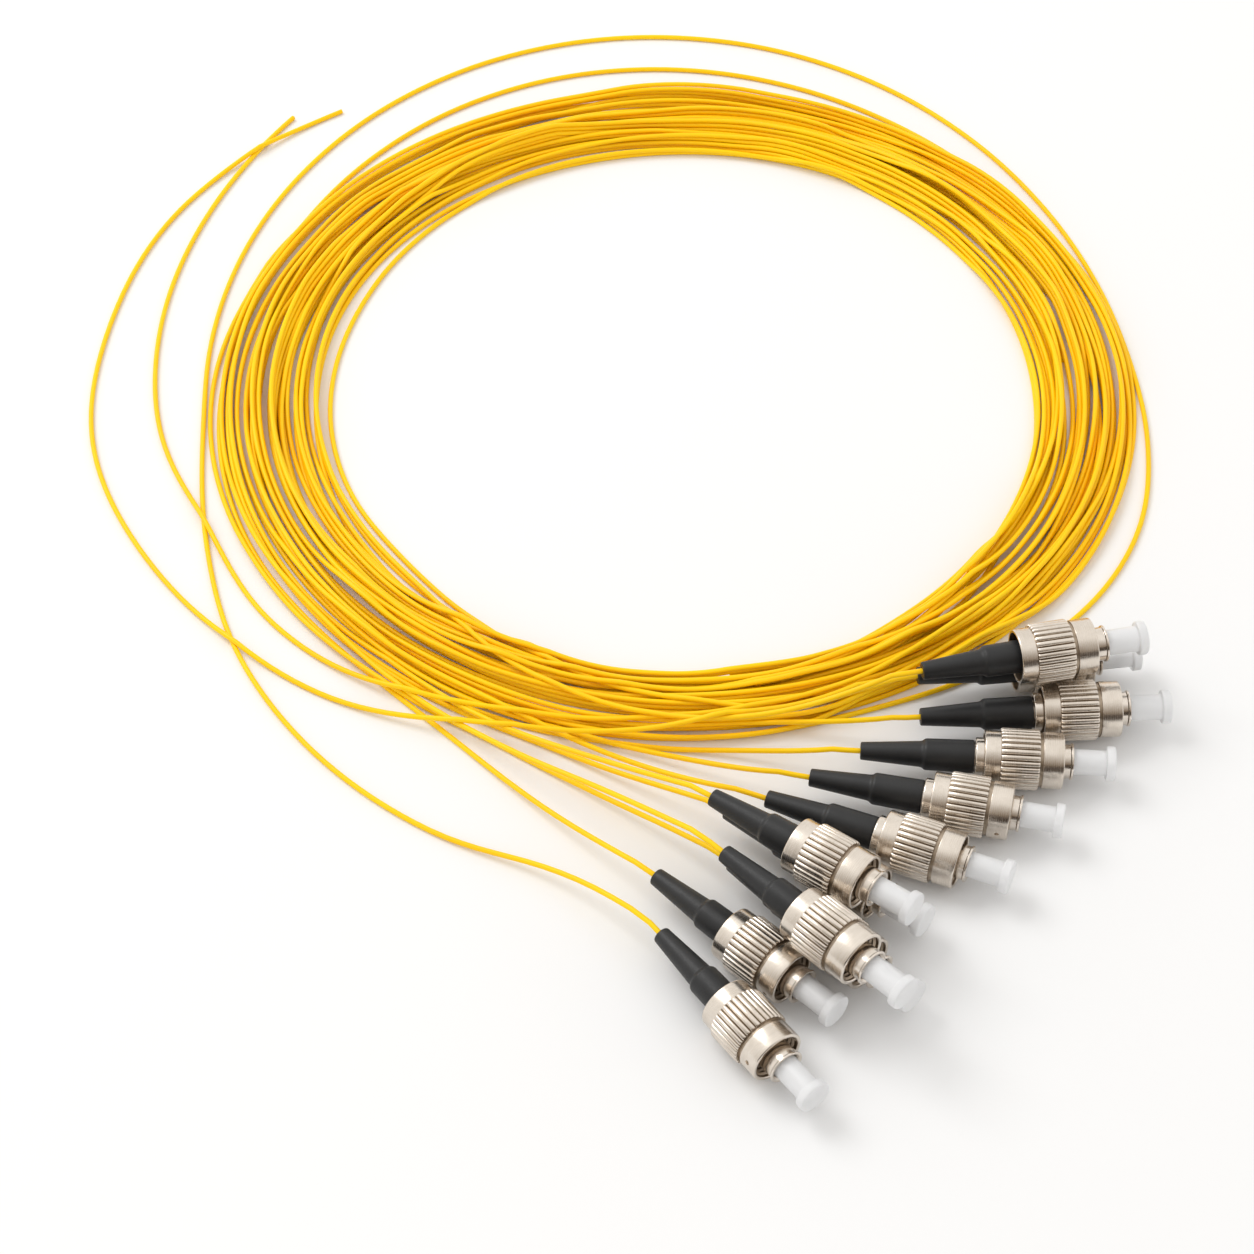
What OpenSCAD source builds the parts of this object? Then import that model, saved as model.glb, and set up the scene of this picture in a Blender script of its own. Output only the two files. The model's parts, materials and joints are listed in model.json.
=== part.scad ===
// A set of twelve single-mode fibre pigtails, each an FC connector on a
// 0.9 mm buffered fibre, laid down as one loose ring with the connectors fanned.
// Every connector is built along its own axis: 0 is the front face of the plug
// frame, positive runs out of the mouth and negative runs back along the cord.

/* [Cord] */
// Diameter of the buffered fibre
cord_d = 0.9; // [0.6:0.1:1.2]
// Free length of each cord, stated for the set
cord_length = 1500; // [1400:50:1600]
// Angle from one ring of a coil's tube to the next
coil_step = 17.143; // [15:0.001:20]

/* [Coil] */
// Outer radius of the ring of cord
coil_r = 86; // [84:0.5:90]
// Width of the ring of cord
coil_band = 21.8; // [20:0.1:23]
// Height of one layer of cord above the one below
layer_pitch = 1.1; // [1.1:0.05:1.5]
// How far a cord of the lower layers drifts inwards in each turn
turn_drift = 5.9; // [5.8:0.05:6.4]
// How far a cord of the top layer drifts outwards in each turn
top_drift = 3.9; // [3.4:0.1:4.2]

/* [Ferrule] */
// Diameter of the ceramic ferrule
ferrule_d = 2.5; // [2.4:0.05:2.6]
// Length of ferrule that stands out of the plug frame
ferrule_reach = 4; // [3:0.1:4.5]
// Diameter of the flange that the spring pushes
ferrule_flange_d = 3.8; // [3.4:0.1:3.9]
// How far the ferrule can be pushed in
ferrule_travel = 1; // [0.5:0.1:1.1]

/* [Dust cap] */
// Outer diameter of the cap's tube
cap_tube_d = 4.2; // [3.6:0.1:4.3]
// Diameter of the grip at the cap's end
cap_grip_d = 5.6; // [5:0.1:6.2]
// Length of the grip
cap_grip_l = 1.5; // [1:0.1:2]
// Length of the cap that stands out of the plug frame
cap_reach = 6.9; // [6:0.1:8]
// Length of the cap inside the plug frame
cap_insert = 4.3; // [3:0.1:4.4]

/* [Plug frame] */
// Outer diameter of the plug frame
frame_d = 5.55; // [5.4:0.05:5.6]
// Bore at the mouth, which takes the dust cap
frame_bore = 4.4; // [4.3:0.05:4.6]
// Length from the mouth to the barrel behind the housing
frame_l = 12.4; // [12.3:0.1:13]
// Diameter of the lip round the mouth
frame_lip_d = 6; // [5.6:0.05:6.2]
// Width of the alignment key
key_w = 2.1; // [1.8:0.05:2.3]
// Height of the key above the frame
key_h = 0.6; // [0.3:0.05:0.65]
// Length of the key
key_l = 2.4; // [1.6:0.1:2.8]

/* [Coupling nut] */
// Length of the coupling nut
nut_l = 12.9; // [12.8:0.1:13]
// Diameter over the ribs
nut_d = 10; // [9.8:0.05:10]
// Number of ribs
nut_ribs = 30; // [24:1:36]
// Depth of the grooves between the ribs
rib_depth = 0.2; // [0.15:0.01:0.3]
// Diameter of the plain collar at the front
nut_front_d = 9.25; // [9:0.05:9.4]
// Length of the front collar
nut_front_l = 3.4; // [3:0.1:3.8]
// Diameter of the plain collar at the back
nut_rear_d = 9; // [8.8:0.05:9.2]
// Length of the back collar
nut_rear_l = 2.6; // [2:0.1:3]
// Major diameter of the thread in the mouth
thread_d = 8; // [7.9:0.05:8.1]
// Length of the threaded mouth
thread_l = 5.8; // [5:0.1:5.8]
// Thickness of the shoulder inside the nut
nut_shoulder_l = 1.4; // [1:0.1:1.4]
// Diameter of the open bore at the back
nut_rear_bore = 7.9; // [7.8:0.05:8]
// How far the nut floats on the plug frame
nut_float = 2.2; // [1.5:0.1:2.2]

/* [Rear body] */
// Diameter of the flange that holds the coupling nut
flange_d = 6.9; // [6.6:0.05:7]
// Diameter of the barrel behind the plug frame
barrel_d = 4.4; // [4:0.05:4.4]
// Length of the barrel
barrel_l = 4.2; // [3.5:0.1:4.2]
// Diameter of the crimp neck
neck_d = 2.7; // [2.4:0.05:2.8]
// Length of the crimp neck
neck_l = 3.4; // [3:0.1:3.4]
// Outer diameter of the crimp sleeve
crimp_d = 3.5; // [3.2:0.05:3.5]
// Diameter of the collar that shows where a boot has crept back
collar_d = 6.4; // [5.8:0.1:6.8]

/* [Boot] */
// Length of the strain-relief boot
boot_l = 18.5; // [17:0.1:20]
// Diameter of the boot at its front
boot_front_d = 5.5; // [5.3:0.05:5.6]
// Length of the thick part of the boot
boot_thick_l = 8; // [8:0.1:9]
// Diameter of the slim part next to the shoulder
boot_slim_d = 4.3; // [3.8:0.05:4.5]
// Diameter of the boot at its tail
boot_tail_d = 2.9; // [2.6:0.05:3.2]
// How far the boots of the outer connectors have crept back
boot_creep = 3.6; // [0:0.1:3.6]

/* [Hidden] */
KINDS = ["nut", "washer", "ferrule", "cap"];

function layer_node(layer) = str("coil_", layer);
function piece_node(kind, n) = str(kind, n < 10 ? "_0" : "_", n);

// Play between pieces that slide, and the small gap at a stop
slip = 0.05;
stop_gap = 0.1;
edge = 0.3;
smooth = 48;

// Connectors as they lie, on the floor or in the hollow between two nuts.
// [x, y, height of the axis, heading, nut pushed back, boot crept back, turn of the nut]
flat_z = nut_d / 2;
pile_z = flat_z + 0.9 * nut_d;
PLACES = [
    [-22.4, -39.4, flat_z, -52.6, 0.6, 0, 8],
    [-19.4, -24.7, flat_z, -43.2, 0.6, 0, 100],
    [-9.4, -27.5, pile_z, -44.7, 0.6, 0, 150],
    [-7.4, -22.0, flat_z, -43.3, 0.6, 0, 200],
    [-5.3, -8.4, flat_z, -35.6, 0.6, 0, 240],
    [-7.9, -12.7, pile_z, -35.6, 0.6, 0, 185],
    [7.9, -1.2, flat_z, -22.5, 0, boot_creep, 140],
    [16.8, 8.9, flat_z, -12.5, 0, boot_creep, 95],
    [26.0, 19.6, flat_z, -3.8, 0, boot_creep, 205],
    [36.2, 30.9, flat_z, 3.1, 0, boot_creep, 170],
    [31.9, 37.2, pile_z + 0.1, 11.1, 0.6, 0, 130],
    [32.4, 41.9, flat_z, 7.5, 0, 0, 220],
];
CONNECTORS = [1 : len(PLACES)];

// Stations along a connector's axis
web_front = -4.6;
web_back = web_front - 1;
cavity_d = 4.2;
flange_back = -7.3;
ferrule_flange_front = web_back - stop_gap;
ferrule_flange_back = ferrule_flange_front - 1.2;
ferrule_rear_d = 2;
ferrule_end = -12.6;
barrel_front = -frame_l;
barrel_back = barrel_front - barrel_l;
neck_back = barrel_back - neck_l;
spring_seat = barrel_front + 0.8;
spring_front = ferrule_flange_back - ferrule_travel - stop_gap;
nut_front = -1.6;
nut_shoulder_bore = frame_d + 3 * slip;
washer_l = 0.6;
clip_l = 0.5;
clip_front = stop_gap - frame_l + clip_l;

// Ring of cord. An angle in it runs clockwise from its nearest point.
COIL_CENTRE = [-36.5, 110];
first_layer_z = 0.5;
// [cords, radius where the last cord joins, angle there, drift a turn, off centre by, towards]
LAYERS = [
    [3, coil_r, 84, -turn_drift, 0.8, 60],
    [3, coil_r - 0.4, 34, -turn_drift, 1.2, 20],
    [4, coil_r - 1.4, 46, -turn_drift, 0.8, 250],
    [2, coil_r - coil_band, 50, top_drift, 0, 0],
];
// One row a connector: [layer, lane, joins at, turns, bulges as [from, to, height]]
COILS = [
    [1, 0, 84, 2.54, [[84, 262, 15.5], [262, 345, 6]]],
    [1, 1, 46, 2.78, [[100, 235, 8.5]]],
    [3, 0, 46, 2.78, []],
    [2, 0, 34, 2.82, []],
    [2, 1, 26, 2.9, []],
    [3, 1, 36, 2.88, []],
    [3, 2, 24, 2.94, []],
    [2, 2, 14, 2.94, []],
    [1, 2, 5, 2.94, []],
    [3, 3, -10, 3, []],
    [4, 1, 54, 2.76, []],
    [4, 0, 50, 2.77, []],
];
// Where each cord runs between its boot and the ring
LEADS = [
    [[-56.5, -1, 2.2], [-75, 7, 0.6], [-92, 19, 0.5], [-104, 32.5, 0.5], [-113, 48, 0.5],
     [-119.5, 70.5, 0.5]],
    [[-56, 9, 3.4], [-71, 24, 1.2], [-86, 38.5, 0.5]],
    [[-46.5, 8, 12.4], [-65, 22.5, 7.9], [-83.5, 37.5, 3.3]],
    [[-48, 13.5, 4.1], [-67, 26.5, 2.4]],
    [[-44.5, 18, 4.1], [-59.5, 26.5, 2.4]],
    [[-49, 16.5, 10.8], [-69.5, 30.5, 5]],
    [[-40, 19, 4.4], [-55, 27, 3.4]],
    [[-36.5, 22.5, 3.4]],
    [[-26, 24.5, 2.8]],
    [[-10.5, 29.5, 3.8]],
    [[-22, 28, 10.5], [-47.5, 32, 7], [-69.5, 45, 5.3], [-82, 61, 5.2]],
    [[-18.5, 33, 5.2], [-44.5, 36, 5.3], [-65.5, 47.5, 5.3], [-78.5, 60, 5.1]],
];
// Where the two uppermost cords run from the ring to their bare ends
ENDS = [
    [11, [[-12, 34.5, 3.8], [-32, 28.5, 4.1], [-56.5, 27.5, 4.5], [-77, 30.5, 4.3], [-96.5, 37, 3.2],
          [-111, 47, 1.9], [-130, 68.5, 0.5], [-142.5, 97, 0.5], [-142.5, 125.5, 0.5], [-131.5, 160, 0.5],
          [-102.5, 188, 0.5]]],
    [12, [[-14, 36, 3.8], [-39.5, 30.5, 3.9], [-65, 32.5, 5.3], [-88, 39, 5.3], [-107.5, 54, 3.2],
          [-120.5, 77, 1.8], [-130, 97.5, 0.5], [-133, 122.5, 0.5], [-127, 156.5, 0.7], [-120, 173, 1.9],
          [-111.5, 187, 0.5]]],
];

// Frame of reference of connector n
function heading(n) = let(a = PLACES[n - 1][3]) [cos(a), sin(a), 0];
function station(n, s) = let(p = PLACES[n - 1]) [p[0], p[1], p[2]] + s * heading(n);
function boot_tail(n) = barrel_front - PLACES[n - 1][5] - boot_l;

// Radius and place of a cord of the ring at one angle
function bulge(cord, t) = let(rises = [for (b = cord[4]) if (b[0] < t && t < b[1])
    b[2] * pow(sin(180 * (t - b[0]) / (b[1] - b[0])), 2)]) len(rises) > 0 ? rises[0] : 0;
function lane_radius(cord, t) = let(layer = LAYERS[cord[0] - 1])
    layer[1] + layer[3] * ((t - layer[2]) / 360 + cord[1] / layer[0])
    + layer[4] * cos(t - layer[5]) + bulge(cord, t);
function coil_point(cord, t) = let(r = lane_radius(cord, t))
    [COIL_CENTRE[0] - r * sin(t), COIL_CENTRE[1] - r * cos(t), first_layer_z + (cord[0] - 1) * layer_pitch];
function coil_angles(cord) = let(
        first = floor(cord[2] / coil_step) + 1,
        last = round((cord[2] + 360 * cord[3]) / coil_step)
    ) [cord[2], for (i = [first:last]) if (i * coil_step - cord[2] > 0.3 * coil_step) i * coil_step];
function coil_heading(t) = [-cos(t), sin(t), 0];

// The coil of cord n. Its ends run straight for one diameter.
function coil_route(n) = let(
        cord = COILS[n - 1],
        angles = coil_angles(cord),
        last = len(angles) - 1,
        points = [for (t = angles) coil_point(cord, t)]
    ) concat(
        [points[0], points[0] + cord_d * coil_heading(angles[0])],
        [for (i = [1 : last - 1]) points[i]],
        [points[last] - cord_d * coil_heading(angles[last]), points[last]]
    );
function lead_route(n) = concat(
    [station(n, neck_back), station(n, boot_tail(n) - edge)],
    LEADS[n - 1],
    [coil_point(COILS[n - 1], COILS[n - 1][2])]
);
function end_route(row) = let(cord = COILS[row[0] - 1], angles = coil_angles(cord))
    concat([coil_point(cord, angles[len(angles) - 1])], row[1]);

// A tube swept along a route, square at both ends to the given headings
function unit(v) = v / norm(v);
function route_heading(route, i) = let(last = len(route) - 1)
    i == 0 ? unit(route[1] - route[0])
    : i == last ? unit(route[last] - route[last - 1])
    : unit(unit(route[i] - route[i - 1]) + unit(route[i + 1] - route[i]));
function tube_ring(at, along, sides) = let(side = unit(cross([0, 0, 1], along)), up = cross(along, side))
    [for (k = [0 : sides - 1]) at + cord_d / 2 * (cos(360 * k / sides) * side + sin(360 * k / sides) * up)];
function tube_points(route, sides, start, finish) = [for (i = [0 : len(route) - 1])
    each tube_ring(route[i], i == 0 ? start : i == len(route) - 1 ? finish : route_heading(route, i), sides)];
function tube_faces(rings, sides) = [
    for (k = [1 : sides - 2]) [0, k, k + 1],
    for (i = [0 : rings - 2], k = [0 : sides - 1]) each let(
        a = i * sides + k,
        b = i * sides + (k + 1) % sides
    ) [[a, a + sides, b], [b, a + sides, b + sides]],
    for (k = [1 : sides - 2]) [(rings - 1) * sides, (rings - 1) * sides + k + 1, (rings - 1) * sides + k],
];

// Lengths, and the least gap of a coil to itself
function route_length(route) = len(route) < 2 ? 0 :
    let(steps = [for (i = [1 : len(route) - 1]) norm(route[i] - route[i - 1])]) steps * [for (s = steps) 1];
function self_gap(route) = let(half_turn = floor(180 / coil_step), last = len(route) - 1)
    min([for (i = [0 : last - half_turn - 1], j = [i + half_turn : last]) norm(route[i] - route[j])]) - cord_d;
function end_rows(n) = [for (row = ENDS) if (row[0] == n) row];
function free_length(n) = route_length(lead_route(n)) + route_length(coil_route(n))
    + (len(end_rows(n)) > 0 ? route_length(end_route(end_rows(n)[0])) : 0);
for (n = CONNECTORS) {
    echo(cord = n, free_length = round(free_length(n)), stated = cord_length, least_gap = self_gap(coil_route(n)));
}

module tube(route, sides, start, finish) {
    polyhedron(tube_points(route, sides, start, finish), tube_faces(len(route), sides));
}

// Puts a piece built along +Z on the axis of connector n
module at_connector(n) {
    place = PLACES[n - 1];
    translate([place[0], place[1], place[2]]) rotate([0, 0, place[3]]) rotate([0, 90, 0]) children();
}

// A cylinder between two stations of the axis
module span(from, to, d) {
    translate([0, 0, min(from, to)]) cylinder(h = abs(to - from), d = d, $fn = smooth);
}

// A solid of revolution from [radius, station] points
module turned(profile) {
    rotate_extrude($fn = smooth) polygon(profile);
}

module coil(layer) {
    color("gold")
    for (n = CONNECTORS) {
        cord = COILS[n - 1];
        if (cord[0] == layer) {
            route = coil_route(n);
            angles = coil_angles(cord);
            tube(route, 6, coil_heading(cord[2]), coil_heading(angles[len(angles) - 1]));
        }
    }
}

module cord_leads() {
    color("gold")
    for (n = CONNECTORS) tube(lead_route(n), 8, -heading(n), coil_heading(COILS[n - 1][2]));
}

module cord_ends() {
    color("gold")
    for (row = ENDS) {
        route = end_route(row);
        angles = coil_angles(COILS[row[0] - 1]);
        tube(route, 8, coil_heading(angles[len(angles) - 1]), route_heading(route, len(route) - 1));
    }
}

// Strain relief: thick over the barrel, then a shoulder and a long taper
module boot() {
    tail = -boot_l;
    thick = -boot_thick_l;
    color([0.08, 0.08, 0.09])
    difference() {
        turned([
            [0, 0], [boot_front_d / 2 - edge, 0], [boot_front_d / 2, -edge], [boot_front_d / 2 - 0.15, thick],
            [boot_slim_d / 2, thick - 0.5], [boot_tail_d / 2, tail + edge / 2], [boot_tail_d / 2 - edge / 2, tail],
            [0, tail]
        ]);
        span(-barrel_l - 0.2, 1, barrel_d + 2 * slip);
        span(thick, 0, crimp_d + 2 * slip);
        span(tail - 1, 0, cord_d + 0.3);
    }
}

// Plug frame: lip, key and the web that stops the ferrule
module plug_frame() {
    key_station = -2;
    color([0.78, 0.77, 0.74])
    difference() {
        union() {
            span(web_back, 0, frame_d);
            span(-0.35, 0, frame_lip_d);
            translate([frame_d / 4 + key_h / 2, 0, key_station])
                cube([frame_d / 2 + key_h, key_w, key_l], center = true);
        }
        span(web_front, 1, frame_bore);
        span(web_back - 1, 1, ferrule_d + 2 * slip);
    }
}

// Rear body: nut flange, spring housing, barrel for the boot and neck for the crimp
module rear_body(creep) {
    bore_end = barrel_front - 2.1;
    collar_back = barrel_front - creep + stop_gap;
    color([0.74, 0.73, 0.70])
    difference() {
        union() {
            span(flange_back, web_back, flange_d);
            span(barrel_front, web_back, frame_d);
            span(barrel_back, barrel_front, barrel_d);
            span(neck_back, barrel_back, neck_d);
            if (creep > 1) turned([
                [0, barrel_front], [collar_d / 2, barrel_front], [collar_d / 2, collar_back + edge],
                [collar_d / 2 - edge, collar_back], [0, collar_back]
            ]);
        }
        span(spring_seat, web_back + 1, cavity_d);
        span(bore_end, 0, ferrule_rear_d + 4 * slip);
    }
}

module crimp_sleeve() {
    color([0.70, 0.62, 0.45])
    difference() {
        span(neck_back - 0.2, barrel_back - 0.4, crimp_d);
        span(neck_back - 1, 0, neck_d);
    }
}

// Envelope of the spring behind the ferrule's flange
module spring() {
    color([0.6, 0.6, 0.62])
    difference() {
        span(spring_seat, spring_front, ferrule_flange_d);
        span(barrel_front, 0, neck_d);
    }
}

// Open ring that keeps the nut on the frame
module retaining_ring() {
    color([0.55, 0.55, 0.57])
    translate([0, 0, clip_front - clip_l])
        rotate_extrude(angle = 320, $fn = smooth)
            translate([frame_d / 2, 0]) square([0.55, clip_l]);
}

module ferrule() {
    tip = ferrule_reach;
    chamfer = 0.4;
    color("white")
    turned([
        [0, ferrule_end], [ferrule_rear_d / 2, ferrule_end], [ferrule_rear_d / 2, ferrule_flange_back],
        [ferrule_flange_d / 2, ferrule_flange_back], [ferrule_flange_d / 2, ferrule_flange_front],
        [ferrule_d / 2, ferrule_flange_front], [ferrule_d / 2, tip - chamfer],
        [ferrule_d / 2 - chamfer, tip], [0, tip]
    ]);
}

// Dust cap: a tube that slips over the ferrule, with a wider grip
module cap() {
    grip = cap_reach - cap_grip_l;
    color([0.93, 0.94, 0.95, 0.8])
    difference() {
        turned([
            [0, -cap_insert], [cap_tube_d / 2, -cap_insert], [cap_tube_d / 2, grip],
            [cap_grip_d / 2 - edge / 2, grip], [cap_grip_d / 2, grip + edge / 2],
            [cap_grip_d / 2, cap_reach - edge], [cap_grip_d / 2 - edge, cap_reach], [0, cap_reach]
        ]);
        span(-cap_insert - 1, ferrule_reach + 0.6, ferrule_d + 2 * slip);
    }
}

// Outline of the knurled grip: straight ribs with sloping flanks
function knurl_outline() = let(pitch = 360 / nut_ribs, top = nut_d / 2, root = nut_d / 2 - rib_depth)
    [for (i = [0 : nut_ribs - 1]) each [
        for (corner = [[-0.42, root], [-0.24, top], [0.24, top], [0.42, root]])
            corner[1] * [cos((i + corner[0]) * pitch), sin((i + corner[0]) * pitch)]
    ]];

// Coupling nut, from its front face at station 0 backwards
module coupling_nut() {
    knurl_front = -nut_front_l;
    knurl_back = nut_rear_l - nut_l;
    groove_l = 0.5;
    groove_d = 8.8;
    shoulder_front = -thread_l;
    shoulder_back = shoulder_front - nut_shoulder_l;
    color([0.80, 0.79, 0.76])
    difference() {
        union() {
            turned([
                [0, 0], [nut_front_d / 2 - edge, 0], [nut_front_d / 2, -edge],
                [nut_front_d / 2, knurl_front + 0.1], [nut_front_d / 2 - 0.1, knurl_front],
                [groove_d / 2, knurl_front], [groove_d / 2, knurl_back],
                [nut_rear_d / 2, knurl_back], [nut_rear_d / 2, edge - nut_l], [nut_rear_d / 2 - edge, -nut_l],
                [0, -nut_l]
            ]);
            translate([0, 0, knurl_back])
                linear_extrude(height = knurl_front - groove_l - knurl_back) polygon(knurl_outline());
        }
        span(shoulder_front, 1, thread_d);
        span(-nut_l, 1, nut_shoulder_bore);
        span(-nut_l - 1, shoulder_back, nut_rear_bore);
    }
}

module nut(n) {
    place = PLACES[n - 1];
    at_connector(n) translate([0, 0, nut_front - place[4]]) rotate([0, 0, place[6]]) coupling_nut();
}

// Washer behind the nut's shoulder, on which the nut turns and with which it slides
module washer(n) {
    front = nut_front - PLACES[n - 1][4] - thread_l - nut_shoulder_l - slip / 2;
    color([0.62, 0.62, 0.64])
    at_connector(n)
        difference() {
            span(front - washer_l, front, nut_rear_bore - 4 * slip);
            span(front - 2, 1, nut_shoulder_bore);
        }
}

for (layer = [1:4]) {
    coil(layer);
}
cord_leads();
cord_ends();
union() {  // boots
    for (n = CONNECTORS) at_connector(n) translate([0, 0, barrel_front - PLACES[n - 1][5]]) boot();
}
union() {  // plug_frames
    for (n = CONNECTORS) at_connector(n) plug_frame();
}
union() {  // rear_bodies
    for (n = CONNECTORS) at_connector(n) rear_body(PLACES[n - 1][5]);
}
union() {  // crimp_sleeves
    for (n = CONNECTORS) at_connector(n) crimp_sleeve();
}
union() {  // springs
    for (n = CONNECTORS) at_connector(n) spring();
}
union() {  // retaining_rings
    for (n = CONNECTORS) at_connector(n) retaining_ring();
}
for (n = CONNECTORS) {
    nut(n);
    washer(n);
    at_connector(n) ferrule();
    at_connector(n) cap();
}
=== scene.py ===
"""Looks of a set of twelve single-mode fibre pigtails: cords, screw-coupled plugs, boots and dust caps.

Lengths are in millimetres and angles in degrees, but for the studio, which is in metres. Each
connector is built along its own axis and then placed: +Z runs out of the mouth, station 0 is the
front face of the plug frame, and negative stations run back along the cord.
"""

import json
import logging
import math
from abc import ABC, abstractmethod
from collections.abc import Iterator
from dataclasses import dataclass
from enum import Enum
from typing import ClassVar

import bmesh
import bpy
import numpy as np
from bmesh.types import BMesh
from bpy.types import ID, Material, Mesh, Node, NodeSocket, NodeTree, Object
from mathutils import Matrix, Vector


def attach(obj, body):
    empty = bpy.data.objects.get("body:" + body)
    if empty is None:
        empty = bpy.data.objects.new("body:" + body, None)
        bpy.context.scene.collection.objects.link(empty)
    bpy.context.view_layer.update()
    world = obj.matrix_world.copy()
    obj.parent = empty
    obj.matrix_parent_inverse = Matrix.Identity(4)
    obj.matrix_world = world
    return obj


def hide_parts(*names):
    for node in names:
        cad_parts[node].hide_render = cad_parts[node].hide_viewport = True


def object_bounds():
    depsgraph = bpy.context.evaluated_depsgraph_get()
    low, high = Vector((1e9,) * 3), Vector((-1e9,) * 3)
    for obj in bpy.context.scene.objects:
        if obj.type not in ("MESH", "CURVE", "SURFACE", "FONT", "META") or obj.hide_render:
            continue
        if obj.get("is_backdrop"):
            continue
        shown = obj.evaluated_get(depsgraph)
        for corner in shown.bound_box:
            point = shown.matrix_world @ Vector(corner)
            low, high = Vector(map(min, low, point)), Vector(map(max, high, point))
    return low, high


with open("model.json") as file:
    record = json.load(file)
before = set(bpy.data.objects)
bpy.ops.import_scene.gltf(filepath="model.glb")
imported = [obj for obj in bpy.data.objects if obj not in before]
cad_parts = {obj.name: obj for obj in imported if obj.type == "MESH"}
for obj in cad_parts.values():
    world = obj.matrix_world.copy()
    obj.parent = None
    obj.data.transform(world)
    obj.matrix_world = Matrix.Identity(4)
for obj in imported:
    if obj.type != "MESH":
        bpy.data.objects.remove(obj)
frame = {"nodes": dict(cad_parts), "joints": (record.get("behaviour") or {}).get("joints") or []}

LOG = logging.getLogger("pigtails")
MM = 0.001
CONNECTORS = range(1, 13)
# How far two solids that meet are sunk into each other, and how near two points are one, in millimetres
SINK = 0.02
WELD = 1e-5
Colour = tuple[float, float, float]
Place = tuple[float, float, float]
Spot = tuple[float, float]
Profile = list[tuple[float, float, float]]


def put(name: str, data: ID) -> Object:
    """Puts a new object into the scene.

    Args:
        name: The object's name.
        data: Its mesh, curve, light or camera.

    Returns:
        The new object.
    """
    made = bpy.data.objects.new(name, data)
    bpy.context.scene.collection.objects.link(made)
    return made


# ---- node trees

class Graph:
    """Adds nodes to one tree and joins them."""

    def __init__(self, tree: NodeTree) -> None:
        """Starts on the tree that receives the nodes."""
        self.tree = tree

    def node(self, kind: str, inputs: dict | None = None, **settings) -> Node:
        """Adds one node.

        Args:
            kind: The node's type name.
            inputs: Values or output sockets by input name or number.
            settings: Properties of the node.

        Returns:
            The new node.
        """
        made = self.tree.nodes.new(kind)
        for name, value in settings.items():
            setattr(made, name, value)
        for name, value in (inputs or {}).items():
            self.feed(made.inputs[name], value)
        return made

    def feed(self, socket: NodeSocket, value: object) -> None:
        """Fills an input.

        Args:
            socket: The input.
            value: The output socket that it is linked to, or its own value.
        """
        if isinstance(value, NodeSocket):
            self.tree.links.new(value, socket)
        else:
            socket.default_value = value

    def math(self, operation: str, first: object, second: object = None, clamp: bool = False) -> NodeSocket:
        """Adds a Math node of one or two operands, whose result may be kept between 0 and 1."""
        values = {0: first} if second is None else {0: first, 1: second}
        return self.node("ShaderNodeMath", values, operation=operation, use_clamp=clamp).outputs[0]

    def add(self, first: object, second: object) -> NodeSocket:
        """Adds two values."""
        return self.math("ADD", first, second)

    def minus(self, first: object, second: object, clamp: bool = False) -> NodeSocket:
        """Takes the second value from the first."""
        return self.math("SUBTRACT", first, second, clamp)

    def times(self, first: object, second: object, clamp: bool = False) -> NodeSocket:
        """Multiplies two values."""
        return self.math("MULTIPLY", first, second, clamp)

    def fit(
        self, value: object, low: float, high: float, to_low: float = 0, to_high: float = 1,
    ) -> NodeSocket:
        """Maps one range of values onto another."""
        return self.node("ShaderNodeMapRange", {
            "Value": value, "From Min": low, "From Max": high, "To Min": to_low, "To Max": to_high,
        }).outputs[0]

    def mix(self, share: object, first: Colour, second: Colour) -> NodeSocket:
        """Mixes two colours. The Mix node numbers its colour sockets 6, 7 and 2."""
        sockets = {0: share, 6: (*first, 1), 7: (*second, 1)}
        return self.node("ShaderNodeMix", sockets, data_type="RGBA").outputs[2]


class GeometryTree(Graph):
    """A geometry tree with named inputs for its sizes, its counts and its finish."""

    SOCKETS = {float: "NodeSocketFloat", int: "NodeSocketInt", Material: "NodeSocketMaterial"}

    def __init__(self, name: str, values: dict[str, float | int | Material]) -> None:
        """Starts a tree that has only its inputs.

        Args:
            name: The tree's name.
            values: The inputs' values by their names.
        """
        super().__init__(bpy.data.node_groups.new(name, "GeometryNodeTree"))
        self.values = values
        sockets = self.tree.interface
        sockets.new_socket("Geometry", in_out="OUTPUT", socket_type="NodeSocketGeometry")
        for label, value in values.items():
            sockets.new_socket(label, in_out="INPUT", socket_type=self.SOCKETS[type(value)])
        self.given = self.node("NodeGroupInput").outputs

    def grow(self, geometry: NodeSocket) -> Mesh:
        """Gives the geometry its finish and evaluates the tree.

        Args:
            geometry: The geometry that the tree has built.

        Returns:
            The mesh that the tree makes.
        """
        finish = self.node("GeometryNodeSetMaterial", {
            "Geometry": geometry, "Material": self.given["Finish"],
        })
        self.node("NodeGroupOutput", {0: finish.outputs[0]})
        carrier = put(self.tree.name, bpy.data.meshes.new(self.tree.name))
        modifier = carrier.modifiers.new(self.tree.name, "NODES")
        modifier.node_group = self.tree
        for item in self.tree.interface.items_tree:
            if item.in_out == "INPUT":
                modifier[item.identifier] = self.values[item.name]
        mesh = evaluated_mesh(carrier)
        bpy.data.objects.remove(carrier)
        return mesh


class Grain(Enum):
    """How a surface got its fine texture."""

    MOULDED = "fine pits of a moulding tool"
    TURNED = "rings left by a lathe"
    EXTRUDED = "slight waves of an extruded jacket"


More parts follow.
